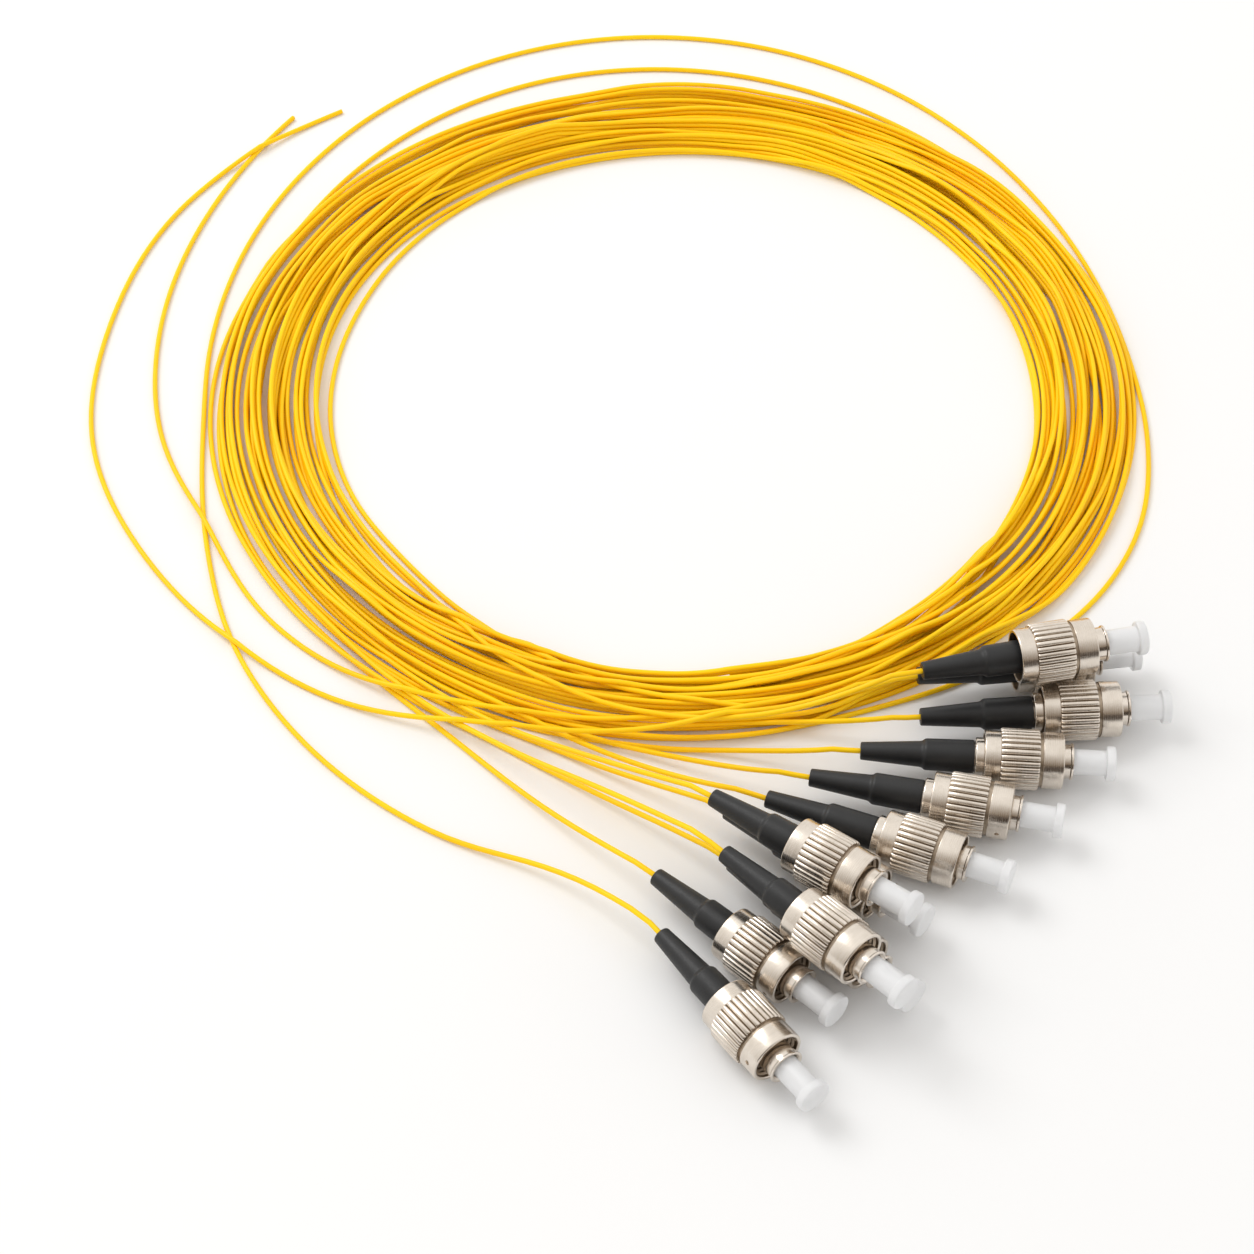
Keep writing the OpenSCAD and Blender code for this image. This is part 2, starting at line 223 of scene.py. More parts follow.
@dataclass(frozen=True)
class Finish:
    """One surface finish."""

    name: str
    slot: str
    colour: Colour
    shade: Colour
    roughness: Spot
    grain: Grain = Grain.MOULDED
    grain_pitch: float = 0.3
    grain_depth: float = 0.01
    patch: float = 6.0
    metallic: float = 0.0
    transmission: float = 0.0
    subsurface: float = 0.0
    ior: float = 1.5
    scatter: ClassVar[float] = 0.6
    # Heights of the noise that mark a finish's first and second colour, and its least and most roughness
    drift_span: ClassVar[Spot] = (0.35, 0.65)
    grain_span: ClassVar[Spot] = (0.3, 0.7)

    def material(self) -> Material:
        """Makes the finish's material, once.

        Returns:
            The material, with procedural colour drift, roughness and relief.
        """
        known = bpy.data.materials.get(self.name)
        if known:
            return known
        made = bpy.data.materials.new(self.name)
        made.use_nodes = True
        graph = Graph(made.node_tree)
        shader = made.node_tree.nodes["Principled BSDF"]
        place = graph.node("ShaderNodeTexCoord")
        drift = graph.node("ShaderNodeTexNoise", {
            "Vector": place.outputs["Object"], "Scale": 1 / (self.patch * MM),
            "Detail": 3.0, "Roughness": 0.6,
        })
        grain = self.relief(graph, place)
        bump = graph.node("ShaderNodeBump", {
            "Height": grain, "Strength": 1.0, "Distance": self.grain_depth * MM,
        })
        share = graph.fit(drift.outputs[0], *self.drift_span)
        for socket, value in {
            "Base Color": graph.mix(share, self.colour, self.shade), "Normal": bump.outputs[0],
            "Roughness": graph.fit(grain, *self.grain_span, *self.roughness),
            "Metallic": self.metallic, "IOR": self.ior, "Transmission Weight": self.transmission,
            "Subsurface Weight": self.subsurface, "Subsurface Scale": self.scatter * MM,
            "Subsurface Radius": (1, 1, 1),
        }.items():
            graph.feed(shader.inputs[socket], value)
        return made

    def relief(self, graph: Graph, place: Node) -> NodeSocket:
        """Adds the height pattern of the grain.

        Args:
            graph: The material's graph.
            place: Its Texture Coordinate node.

        Returns:
            A socket from about 0.3 to 0.7.
        """
        if self.grain is Grain.TURNED:
            along = graph.node("ShaderNodeSeparateXYZ", {0: place.outputs["UV"]}).outputs[1]
            lines = graph.math("DIVIDE", along, self.grain_pitch)
            return graph.node("ShaderNodeTexNoise", {
                "W": lines, "Scale": 1.0, "Detail": 2.0, "Roughness": 0.7,
            }, noise_dimensions="1D").outputs[0]
        detail = 0.5 if self.grain is Grain.EXTRUDED else 3.0
        return graph.node("ShaderNodeTexNoise", {
            "Vector": place.outputs["Object"], "Scale": 1 / (self.grain_pitch * MM), "Detail": detail,
        }).outputs[0]


YELLOW_JACKET = Finish(
    "yellow_jacket", "cord", (1.0, 0.65, 0.001), (1.0, 0.585, 0.001), (0.34, 0.46), Grain.EXTRUDED,
    grain_pitch=1.6, grain_depth=0.02, patch=30, ior=1.32,
)
BLACK_RUBBER = Finish(
    "black_rubber", "boot", (0.0085, 0.0085, 0.009), (0.013, 0.013, 0.0135), (0.40, 0.58),
    grain_pitch=0.18, grain_depth=0.012, patch=4, ior=1.48,
)
SATIN_NICKEL = Finish(
    "satin_nickel", "nickel", (0.77, 0.70, 0.62), (0.69, 0.62, 0.54), (0.19, 0.31), Grain.TURNED,
    grain_pitch=0.06, grain_depth=0.0016, patch=2.5, metallic=1.0,
)
# A darker, browner copy of the nut's nickel that paints shade into its mouth, groove and rib valleys
PAINTED_SHADE_NICKEL = Finish(
    "painted_shade_nickel", "nickel", (0.46, 0.375, 0.29), (0.34, 0.27, 0.20), (0.26, 0.42), Grain.TURNED,
    grain_pitch=0.06, grain_depth=0.0016, patch=1.5, metallic=1.0,
)
BRIGHT_NICKEL = Finish(
    "bright_nickel", "frame_metal", (0.79, 0.72, 0.645), (0.71, 0.64, 0.56), (0.14, 0.25), Grain.TURNED,
    grain_pitch=0.08, grain_depth=0.0012, patch=2.0, metallic=1.0,
)
PLAIN_BRASS = Finish(
    "plain_brass", "crimp", (0.72, 0.50, 0.22), (0.62, 0.42, 0.18), (0.25, 0.40),
    grain_pitch=0.15, grain_depth=0.003, patch=2.0, metallic=1.0,
)
SPRING_STEEL = Finish(
    "spring_steel", "steel", (0.60, 0.60, 0.61), (0.52, 0.52, 0.53), (0.22, 0.36),
    grain_pitch=0.12, grain_depth=0.002, patch=2.0, metallic=1.0,
)
CERAMIC = Finish(
    "ceramic", "ceramic", (0.90, 0.90, 0.87), (0.86, 0.86, 0.83), (0.08, 0.14),
    grain_pitch=0.2, grain_depth=0.0004, patch=3.0, subsurface=0.1, ior=2.1,
)
CLEAR_CAP = Finish(
    "clear_cap", "cap", (0.97, 0.975, 0.985), (0.95, 0.957, 0.97), (0.28, 0.38),
    grain_pitch=0.5, grain_depth=0.002, patch=3.0, transmission=0.34, subsurface=0.45, ior=1.42,
)


# ---- meshes

def rounded(profile: Profile, steps: int = 4) -> list[tuple[float, float]]:
    """Rounds the corners of a profile.

    Args:
        profile: Corners as (radius, station, rounding).
        steps: Segments of each rounded corner.

    Returns:
        The profile's points as (radius, station).
    """
    points: list[tuple[float, float]] = []
    count = len(profile)
    for index, (radius, station, cut) in enumerate(profile):
        corner = Vector((radius, station))
        if cut <= 0:
            points.append((radius, station))
            continue
        before = Vector(profile[index - 1][:2]) - corner
        after = Vector(profile[(index + 1) % count][:2]) - corner
        start = corner + before.normalized() * min(cut, before.length / 2)
        end = corner + after.normalized() * min(cut, after.length / 2)
        for step in range(steps + 1):
            t = step / steps
            point = (1 - t) ** 2 * start + 2 * t * (1 - t) * corner + t * t * end
            points.append((point.x, point.y))
    return points


def revolve(profile: Profile, segments: int = 64) -> BMesh:
    """Turns a closed profile into a solid round the axis.

    Args:
        profile: Corners as (radius, station, rounding), all round the section. Radius 0 is a pole.
        segments: Faces round the axis.

    Returns:
        A closed mesh with outward normals.
    """
    solid = bmesh.new()
    rings = []
    for radius, station in rounded(profile):
        if radius < WELD:
            rings.append([solid.verts.new((0, 0, station))])
            continue
        angles = [2 * math.pi * step / segments for step in range(segments)]
        rings.append([solid.verts.new((radius * math.cos(a), radius * math.sin(a), station))
                      for a in angles])
    for ring, following in zip(rings, rings[1:] + rings[:1]):
        if len(ring) == 1 and len(following) == 1:
            continue
        for step in range(segments):
            here, there = step, (step + 1) % segments
            corners = [ring[here % len(ring)], ring[there % len(ring)],
                       following[there % len(following)], following[here % len(following)]]
            solid.faces.new(list(dict.fromkeys(corners)))
    bmesh.ops.remove_doubles(solid, verts=solid.verts, dist=WELD)
    bmesh.ops.recalc_face_normals(solid, faces=solid.faces)
    return solid


def as_mesh(solid: BMesh, name: str, *finishes: Finish) -> Mesh:
    """Ends a bmesh as a mesh.

    Args:
        solid: The bmesh, which is freed.
        name: The mesh's name.
        finishes: The finishes of its material slots, in order.

    Returns:
        The new mesh.
    """
    mesh = bpy.data.meshes.new(name)
    solid.to_mesh(mesh)
    solid.free()
    for finish in finishes:
        mesh.materials.append(finish.material())
    return mesh


def block(low: Place, high: Place, edge: float) -> BMesh:
    """Makes a block with rounded edges.

    Args:
        low: Its lowest corner.
        high: Its highest corner.
        edge: Width of the rounded edges.

    Returns:
        The closed mesh.
    """
    solid = bmesh.new()
    size = Vector(high) - Vector(low)
    centre = (Vector(high) + Vector(low)) / 2
    bmesh.ops.create_cube(solid, size=1, matrix=Matrix.Translation(centre) @ Matrix.Diagonal((*size, 1)))
    bmesh.ops.bevel(solid, geom=solid.edges[:], offset=edge, segments=3, affect="EDGES", profile=0.5)
    return solid


class Operation(Enum):
    """How one closed mesh changes another."""

    ADD = "UNION"
    CUT = "DIFFERENCE"


def combine(first: Mesh, second: Mesh, operation: Operation) -> Mesh:
    """Joins or cuts two closed meshes.

    Args:
        first: The mesh that is kept or cut.
        second: The mesh that is added or taken away.
        operation: Which of the two it is.

    Returns:
        The result as a new mesh.
    """
    body, tool = put("combine_body", first), put("combine_tool", second)
    change = body.modifiers.new("combine", "BOOLEAN")
    change.operation, change.object, change.solver = operation.value, tool, "EXACT"
    result = evaluated_mesh(body)
    for made in (body, tool):
        bpy.data.objects.remove(made)
    return result


def evaluated_mesh(source: Object) -> Mesh:
    """Turns an object with its modifiers into a plain mesh."""
    graph = bpy.context.evaluated_depsgraph_get()
    return bpy.data.meshes.new_from_object(source.evaluated_get(graph), depsgraph=graph)


def joined(name: str, parts: list[tuple[Mesh, Matrix]]) -> Mesh:
    """Joins placed copies of meshes into one.

    Args:
        name: Name of the new mesh.
        parts: Meshes and where each goes.

    Returns:
        The mesh, with the materials of its first part.
    """
    whole = bmesh.new()
    for mesh, matrix in parts:
        copy = mesh.copy()
        copy.transform(matrix)
        whole.from_mesh(copy)
        bpy.data.meshes.remove(copy)
    mesh = as_mesh(whole, name)
    for material in parts[0][0].materials:
        mesh.materials.append(material)
    return mesh


def turned_uv(mesh: Mesh) -> None:
    """Lays a UV map round the axis: U is the turn and V the station.

    Args:
        mesh: The mesh that receives it.
    """
    def read(items: object, name: str, kind: type, width: int = 1) -> np.ndarray:
        """Reads a value of every item."""
        values = np.empty(len(items) * width, kind)
        items.foreach_get(name, values)
        return values

    layer = mesh.uv_layers.new(name="UVMap") if not mesh.uv_layers else mesh.uv_layers[0]
    points = read(mesh.vertices, "co", float, 3).reshape(-1, 3)
    corners = read(mesh.loops, "vertex_index", int)
    turn = np.arctan2(points[:, 1], points[:, 0])[corners] / (2 * math.pi)
    starts, sizes = (read(mesh.polygons, name, int) for name in ("loop_start", "loop_total"))
    first = np.repeat(turn[starts], sizes)
    turn = turn - np.round(turn - first)
    layer.uv.foreach_set("vector", np.stack([turn, points[corners, 2]], 1).ravel())


def dress(mesh: Mesh, crease: float = 32) -> Mesh:
    """Smooths a mesh but for its sharp edges, and gives it its UV map.

    Args:
        mesh: The mesh.
        crease: The least angle of a sharp edge.

    Returns:
        The same mesh.
    """
    mesh.polygons.foreach_set("use_smooth", [True] * len(mesh.polygons))
    mesh.set_sharp_from_angle(angle=math.radians(crease))
    turned_uv(mesh)
    return mesh


def piece(name: str, mesh: Mesh, body: str, slot: str, *nodes: str) -> Object:
    """Puts a finished mesh into the scene as a piece of the object.

    Args:
        name: The piece's name.
        mesh: Its mesh, in place and in metres.
        body: The body that it rides on.
        slot: The material slot of the record; not used.
        nodes: The CAD nodes that it stands for.

    Returns:
        The new object.
    """
    made = put(name, mesh)
    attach(made, body)
    if nodes:
        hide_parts(*nodes)
    LOG.info("%s: %d faces on %s", name, len(mesh.polygons), body)
    return made


# ---- connectors

@dataclass(frozen=True)
class Connector:
    """Where one connector lies, read from the frame's joints."""

    number: int
    origin: Vector
    heading: Vector
    nut_back: float
    boot_back: float
    nut_roll: float

    @property
    def tag(self) -> str:
        """The two-figure number of its nodes."""
        return f"{self.number:02d}"

    def matrix(self, station: float = 0, roll: float = 0) -> Matrix:
        """Places a piece of this connector.

        Args:
            station: Where the piece's own zero goes.
            roll: Turn about the axis in degrees.

        Returns:
            The matrix from the piece's millimetres to the frame's metres.
        """
        turn = Matrix.Rotation(math.atan2(self.heading.y, self.heading.x), 4, "Z")
        lay = Matrix.Rotation(math.pi / 2, 4, "Y")
        shift = Matrix.Translation(self.origin * MM)
        along = Matrix.Translation((0, 0, station)) @ Matrix.Rotation(math.radians(roll), 4, "Z")
        return shift @ turn @ lay @ Matrix.Scale(MM, 4) @ along

    def point(self, station: float) -> Vector:
        """Gives the place of a station of the axis, in millimetres."""
        return self.origin + self.heading * float(station)


class ConnectorFan:
    """The twelve connectors as they lie."""

    HINGE_STATION = -8.0
    BOOTS_BACK = {7: 3.6, 8: 3.6, 9: 3.6, 10: 3.6}
    NUT_ROLLS = (80, 100, 150, 200, 240, 185, 140, 95, 205, 170, 130, 220)

    def __init__(self) -> None:
        """Reads each connector's axis and its nut's float from the frame."""
        joints = {joint["name"]: joint for joint in frame["joints"]}
        self.connectors = []
        for number in CONNECTORS:
            turn = joints[f"nut_turn_{number:02d}"]
            slide = joints[f"nut_slide_{number:02d}"]
            heading = Vector(turn["axis"])
            origin = Vector(turn["pos_m"]) / MM - self.HINGE_STATION * heading
            self.connectors.append(Connector(
                number, origin, heading, slide["range_m"][1] / MM,
                self.BOOTS_BACK.get(number, 0.0), self.NUT_ROLLS[number - 1],
            ))

    def __iter__(self) -> Iterator[Connector]:
        """Gives the connectors in order."""
        return iter(self.connectors)


class Fitting(ABC):
    """A piece that each connector has, modelled once about its own axis and placed on each."""

    title: ClassVar[str]
    node: ClassVar[str]
    finish: ClassVar[Finish]

    @abstractmethod
    def mesh(self) -> Mesh:
        """Builds the piece, in millimetres."""

    def seat(self, place: Connector) -> Matrix:
        """Gives the matrix that puts the piece on a connector."""
        return place.matrix()

    @abstractmethod
    def build(self, fan: ConnectorFan) -> None:
        """Puts the piece on every connector."""


class MovingFitting(Fitting):
    """A fitting that has a node and a body of its own on each connector."""

    def build(self, fan: ConnectorFan) -> None:
        """Puts a piece on each connector.

        Args:
            fan: The connectors.
        """
        pattern = self.mesh()
        for place in fan:
            mesh = pattern.copy()
            mesh.transform(self.seat(place))
            node = f"{self.node}_{place.tag}"
            piece(f"{self.title}_{place.tag}", mesh, node, self.finish.slot, node)


class FixedFitting(Fitting):
    """A fitting whose twelve copies are one node on the set."""

    def patterns(self, fan: ConnectorFan) -> list[Mesh]:
        """Gives a mesh for each connector, here the same for all."""
        return [self.mesh()] * len(CONNECTORS)

    def build(self, fan: ConnectorFan) -> None:
        """Puts the twelve copies into the scene as one piece."""
        parts = list(zip(self.patterns(fan), [self.seat(place) for place in fan]))
        piece(self.title, joined(self.title, parts), "set", self.finish.slot, self.node)


@dataclass
class CouplingNut(MovingFitting):
    """Threaded nut with a straight-ribbed grip between two plain collars."""

    title, node, finish = "coupling_nut", "nut", SATIN_NICKEL
    front_station: float = -1.6
    length: float = 12.9
    front_radius: float = 4.625
    front_length: float = 3.4
    rear_radius: float = 4.5
    rear_length: float = 2.6
    groove_radius: float = 4.4
    groove_length: float = 0.5
    root_radius: float = 4.55
    rib_height: float = 0.45
    ribs: int = 30
    rib_end: float = 0.3
    rib_weld: float = 0.002
    # How far above the rib roots, and how far past the thread in the mouth, faces get the painted shade
    valley_shade_height: float = 0.12
    mouth_depth: float = 0.05
    rib_foot: float = 0.2
    # A rib's share of its pitch on each side, how flat its top is and how full its flanks
    rib_half_width: float = 0.47
    rib_flatness: float = 3.0
    rib_fullness: float = 0.65
    rib_rows: int = 6
    thread_radius: float = 4.0
    thread_pitch: float = 0.75
    thread_depth: float = 0.3
    thread_length: float = 5.8
    thread_margins: Spot = (0.2, 0.4)
    lead_in: float = 0.15
    shoulder_length: float = 1.4
    shoulder_bore: float = 2.85
    rear_bore: float = 3.95
    witness_radius: float = 0.4
    witness_depth: float = 0.3
    drill_point: float = 0.1

    @property
    def knurl_back(self) -> float:
        """The station where the ribs end."""
        return self.rear_length - self.length

    def core(self) -> Mesh:
        """Turns the nut without its ribs and thread.

        Returns:
            The nut's core.
        """
        knurl_front, knurl_back = -self.front_length, self.knurl_back
        groove_back = knurl_front - self.groove_length
        shoulder_back = -self.thread_length - self.shoulder_length
        under_ribs = self.root_radius - SINK
        return as_mesh(revolve([
            (self.thread_radius, -self.lead_in, 0.03), (self.thread_radius + self.lead_in, 0, 0.03),
            (self.front_radius, 0, 0.28), (self.front_radius, knurl_front, 0.1),
            (self.groove_radius, knurl_front, 0), (self.groove_radius, groove_back, 0),
            (under_ribs, groove_back, 0), (under_ribs, knurl_back, 0),
            (self.rear_radius, knurl_back, 0), (self.rear_radius, -self.length, 0.3),
            (self.rear_bore, -self.length, 0.1), (self.rear_bore, shoulder_back, 0),
            (self.shoulder_bore, shoulder_back, 0), (self.shoulder_bore, -self.thread_length, 0.1),
            (self.thread_radius, -self.thread_length, 0),
        ], segments=96), "nut_core", self.finish)

    def witness(self) -> Mesh:
        """Makes the drill that marks the front collar.

        Returns:
            The drill, across the axis.
        """
        tip, top = self.front_radius - self.witness_depth, self.front_radius + 1
        drill = revolve([
            (0, tip - self.drill_point, 0), (self.witness_radius, tip, 0),
            (self.witness_radius, top, 0), (0, top, 0),
        ], segments=24)
        middle = Matrix.Translation((0, 0, -self.front_length / 2))
        bmesh.ops.transform(drill, matrix=middle @ Matrix.Rotation(-math.pi / 2, 4, "Y"), verts=drill.verts)
        return as_mesh(drill, "witness_drill", self.finish)

    def ribs_mesh(self) -> Mesh:
        """Rolls one rib out of a flat sheet and repeats it round the grip.

        Returns:
            All the ribs.
        """
        tree = GeometryTree("straight_ribs", {
            "Rib Count": self.ribs, "Root Radius": self.root_radius, "Rib Height": self.rib_height,
            "Back": self.knurl_back, "Length": -self.front_length - self.groove_length - self.knurl_back,
            "End Rounding": self.rib_end, "Finish": self.finish.material(),
        })
        given, add, times, minus = tree.given, tree.add, tree.times, tree.minus
        sheet = tree.node("GeometryNodeMeshGrid", {
            "Size X": 1.0, "Size Y": 1.0, "Vertices X": 13, "Vertices Y": self.rib_rows,
        })
        spot = tree.node("ShaderNodeSeparateXYZ", {0: tree.node("GeometryNodeInputPosition").outputs[0]})
        across, along = spot.outputs[0], add(spot.outputs[1], 0.5)
        share = tree.math("DIVIDE", tree.math("ABSOLUTE", across), self.rib_half_width)
        flank = minus(1.0, tree.math("POWER", share, self.rib_flatness), clamp=True)
        hump = tree.math("POWER", flank, self.rib_fullness)
        rows_in = times(tree.math("MINIMUM", along, minus(1.0, along)), (self.rib_rows - 1) / 2, clamp=True)
        left = minus(1.0, rows_in)
        rise = minus(1.0, times(left, left))
        inset = times(given["End Rounding"], times(rows_in, rows_in))
        front_half = tree.math("GREATER_THAN", along, 0.5)
        side = minus(1.0, times(front_half, 2.0))
        station = add(given["Back"], add(times(front_half, given["Length"]), times(inset, side)))
        foot = minus(given["Root Radius"], self.rib_foot)
        top = add(given["Root Radius"], times(given["Rib Height"], hump))
        radius = add(foot, times(minus(top, foot), rise))
        pitch = tree.math("DIVIDE", 2 * math.pi, given["Rib Count"])
        angle = times(across, pitch)
        rolled = tree.node("ShaderNodeCombineXYZ", {
            0: times(radius, tree.math("COSINE", angle)), 1: times(radius, tree.math("SINE", angle)),
            2: station,
        })
        rib = tree.node("GeometryNodeSetPosition", {
            "Geometry": sheet.outputs["Mesh"], "Position": rolled.outputs[0],
        })
        one = tree.node("GeometryNodeGeometryToInstance", {0: rib.outputs[0]})
        copies = tree.node("GeometryNodeDuplicateElements", {
            "Geometry": one.outputs[0], "Amount": given["Rib Count"],
        }, domain="INSTANCE")
        turn = tree.node("ShaderNodeCombineXYZ", {2: times(copies.outputs[1], pitch)})
        ring = tree.node("GeometryNodeRotateInstances", {
            "Instances": copies.outputs[0],
            "Rotation": tree.node("FunctionNodeEulerToRotation", {0: turn.outputs[0]}).outputs[0],
        })
        solid = tree.node("GeometryNodeMergeByDistance", {
            "Geometry": tree.node("GeometryNodeRealizeInstances", {0: ring.outputs[0]}).outputs[0],
            "Distance": self.rib_weld,
        })
        return tree.grow(solid.outputs[0])

    def mesh(self) -> Mesh:
        """Builds the whole nut, from its front face at station 0 backwards.

        Returns:
            The nut's mesh.
        """
        low, high = self.thread_margins
        height = self.thread_length - low - high
        thread = spiral("inner_thread", {
            "Turns": height / self.thread_pitch, "Radius": self.thread_radius, "Height": height,
            "Start": low - self.thread_length, "Section Radius": self.thread_depth,
            "Sides": 4, "Steps": 48, "Finish": self.finish.material(),
        })
        turned = combine(self.core(), self.witness(), Operation.CUT)
        whole = joined("nut", [(part, Matrix()) for part in (turned, self.ribs_mesh(), thread)])
        self.paint_recess_shade(whole)
        return dress(whole, crease=38)

    def paint_recess_shade(self, mesh: Mesh) -> None:
        """Paints shade onto the mouth, the groove and the valleys between the ribs with a darker nickel.

        Args:
            mesh: The nut's mesh.
        """
        mesh.materials.append(PAINTED_SHADE_NICKEL.material())
        mouth = self.thread_radius + self.mouth_depth
        valley = self.root_radius + self.valley_shade_height
        # Faces inside the mouth, and faces near the rib roots in the grip and groove, take the painted shade
        for face in mesh.polygons:
            radius = math.hypot(*face.center[:2])
            in_grip = self.knurl_back < face.center.z < -self.front_length
            face.material_index = int(radius < (valley if in_grip else mouth))

    def seat(self, place: Connector) -> Matrix:
        """Puts the nut where its float has left it, turned as it came to rest."""
        return place.matrix(self.front_station - place.nut_back, place.nut_roll)


def spiral(name: str, values: dict[str, float | int | Material]) -> Mesh:
    """Sweeps a section along a spiral, for threads and springs.

    Args:
        name: The name of the tree that does it.
        values: Its Turns, Radius, Height, Start, Section Radius, Sides, Steps a turn and Finish.

    Returns:
        The swept mesh.
    """
    tree = GeometryTree(name, values)
    given = tree.given
    line = tree.node("GeometryNodeCurveSpiral", {
        "Resolution": given["Steps"], "Rotations": given["Turns"], "Start Radius": given["Radius"],
        "End Radius": given["Radius"], "Height": given["Height"],
    })
    start = tree.node("ShaderNodeCombineXYZ", {2: given["Start"]})
    moved = tree.node("GeometryNodeTransform", {
        "Geometry": line.outputs[0], "Translation": start.outputs[0],
    })
    upright = tree.node("GeometryNodeSetCurveNormal", {"Curve": moved.outputs[0]}, mode="Z_UP")
    section = tree.node("GeometryNodeCurvePrimitiveCircle", {
        "Resolution": given["Sides"], "Radius": given["Section Radius"],
    })
    swept = tree.node("GeometryNodeCurveToMesh", {
        "Curve": upright.outputs[0], "Profile Curve": section.outputs[0], "Fill Caps": True,
    })
    real = tree.node("GeometryNodeRealizeInstances", {0: swept.outputs[0]})
    return tree.grow(real.outputs[0])


@dataclass
class DustCap(MovingFitting):
    """Clear cap over the ferrule, with a wider grip."""

    title, node, finish = "dust_cap", "cap", CLEAR_CAP
    tube_radius: float = 2.1
    grip_radius: float = 2.8
    inside: float = 4.3
    reach: float = 6.9
    grip_length: float = 1.5
    bore_radius: float = 1.3
    bore_reach: float = 4.6

    def mesh(self) -> Mesh:
        """Turns the cap."""
        grip = self.reach - self.grip_length
        return dress(as_mesh(revolve([
            (0, self.reach, 0), (self.grip_radius, self.reach, 0.35), (self.grip_radius, grip, 0.25),
            (self.tube_radius, grip, 0.25), (self.tube_radius, -self.inside, 0.15),
            (self.bore_radius, -self.inside, 0.15), (self.bore_radius, self.bore_reach, 0.4),
            (0, self.bore_reach, 0),
        ]), "cap", self.finish))


@dataclass
class Ferrule(MovingFitting):
    """Ceramic ferrule pressed in a metal flange."""

    title, node, finish = "ferrule_rod", "ferrule", CERAMIC
    radius: float = 1.25
    reach: float = 4.0
    chamfer: float = 0.4
    flange_radius: float = 1.9
    flange_front: float = -5.7
    flange_back: float = -6.9
    tail_radius: float = 1.0
    tail_end: float = -12.6

    def mesh(self) -> Mesh:
        """Turns the rod and its flange as two solids, ceramic first and metal second.

        Returns:
            The ferrule's mesh.
        """
        seat = self.flange_front - SINK
        rod = revolve([
            (0, self.reach, 0), (self.radius - self.chamfer, self.reach, 0.1),
            (self.radius, self.reach - self.chamfer, 0.1), (self.radius, seat, 0), (0, seat, 0),
        ], segments=48)
        flange = revolve([
            (0, seat, 0), (self.flange_radius, seat, 0.12),
            (self.flange_radius, self.flange_back, 0.12), (self.tail_radius, self.flange_back, 0.05),
            (self.tail_radius, self.tail_end, 0.15), (0, self.tail_end, 0),
        ], segments=48)
        for face in flange.faces:
            face.material_index = 1
        return dress(joined("ferrule", [
            (as_mesh(solid, "ferrule_part", CERAMIC, BRIGHT_NICKEL), Matrix()) for solid in (rod, flange)
        ]))


@dataclass
class PlugFrame(FixedFitting):
    """Keyed front sleeve of the plug."""

    title, node, finish = "plug_sleeves", "plug_frames", BRIGHT_NICKEL
    radius: float = 2.775
    lip_radius: float = 3.0
    lip_length: float = 0.35
    lip_slope: float = 0.12
    bore: float = 2.2
    mouth: float = 2.6
    mouth_depth: float = 0.45
    web_front: float = -4.6
    web_back: float = -5.6
    web_bore: float = 1.3
    key_width: float = 2.1
    key_radius: float = 3.375
    key_station: float = -2.0
    key_length: float = 2.4
    key_sunk: float = 0.3
    key_edge: float = 0.12

    def mesh(self) -> Mesh:
        """Turns the sleeve and adds its key.

        Returns:
            The frame's mesh.
        """
        sleeve = as_mesh(revolve([
            (self.bore, -self.mouth_depth, 0.1), (self.mouth, 0, 0.05), (self.lip_radius, 0, 0.1),
            (self.lip_radius, -self.lip_length, 0.1),
            (self.radius, -self.lip_length - self.lip_slope, 0.05),
            (self.radius, self.web_back, 0), (self.web_bore, self.web_back, 0),
            (self.web_bore, self.web_front, 0), (self.bore, self.web_front, 0),
        ]), "sleeve", self.finish)
        half_width, half_length = self.key_width / 2, self.key_length / 2
        key = block((self.radius - self.key_sunk, -half_width, self.key_station - half_length),
                    (self.key_radius, half_width, self.key_station + half_length), self.key_edge)
        return dress(combine(sleeve, as_mesh(key, "key", self.finish), Operation.ADD))


@dataclass
class RearBody(FixedFitting):
    """Flange and housing behind the frame, then barrel and neck for the boot."""

    title, node, finish = "plug_barrels", "rear_bodies", BRIGHT_NICKEL
    front: float = -5.6
    flange_back: float = -7.3
    flange_radius: float = 3.45
    housing_radius: float = 2.775
    housing_back: float = -12.4
    cavity: float = 2.1
    spring_seat: float = -11.6
    collar_radius: float = 3.2
    collar_gap: float = 0.1
    barrel_radius: float = 2.2
    barrel_length: float = 4.2
    neck_radius: float = 1.35
    neck_length: float = 3.4
    bore: float = 1.1
    bore_end: float = -14.5

    def mesh(self, boot_back: float = 0) -> Mesh:
        """Turns a rear body.

        Args:
            boot_back: How far its boot has crept back, which bares a collar.

        Returns:
            Its mesh.
        """
        barrel_back = self.housing_back - self.barrel_length
        neck_back = barrel_back - self.neck_length
        collar_back = self.housing_back - boot_back + self.collar_gap
        collar = [(self.housing_radius, self.housing_back, 0.12), (self.barrel_radius, self.housing_back, 0)]
        if boot_back:
            collar = [
                (self.housing_radius, self.housing_back, 0), (self.collar_radius, self.housing_back, 0.1),
                (self.collar_radius, collar_back, 0.28), (self.barrel_radius, collar_back, 0),
            ]
        return dress(as_mesh(revolve([
            (0, self.bore_end, 0), (self.bore, self.bore_end, 0), (self.bore, self.spring_seat, 0.05),
            (self.cavity, self.spring_seat, 0), (self.cavity, self.front, 0.05),
            (self.flange_radius, self.front, 0.1), (self.flange_radius, self.flange_back, 0.1),
            (self.housing_radius, self.flange_back, 0), *collar,
            (self.barrel_radius, barrel_back, 0.25), (self.neck_radius, barrel_back, 0.1),
            (self.neck_radius, neck_back, 0.2), (0, neck_back, 0),
        ]), "rear_body", self.finish))

    def patterns(self, fan: ConnectorFan) -> list[Mesh]:
        """Turns each connector's rear body, with its collar where it shows."""
        return [self.mesh(place.boot_back) for place in fan]


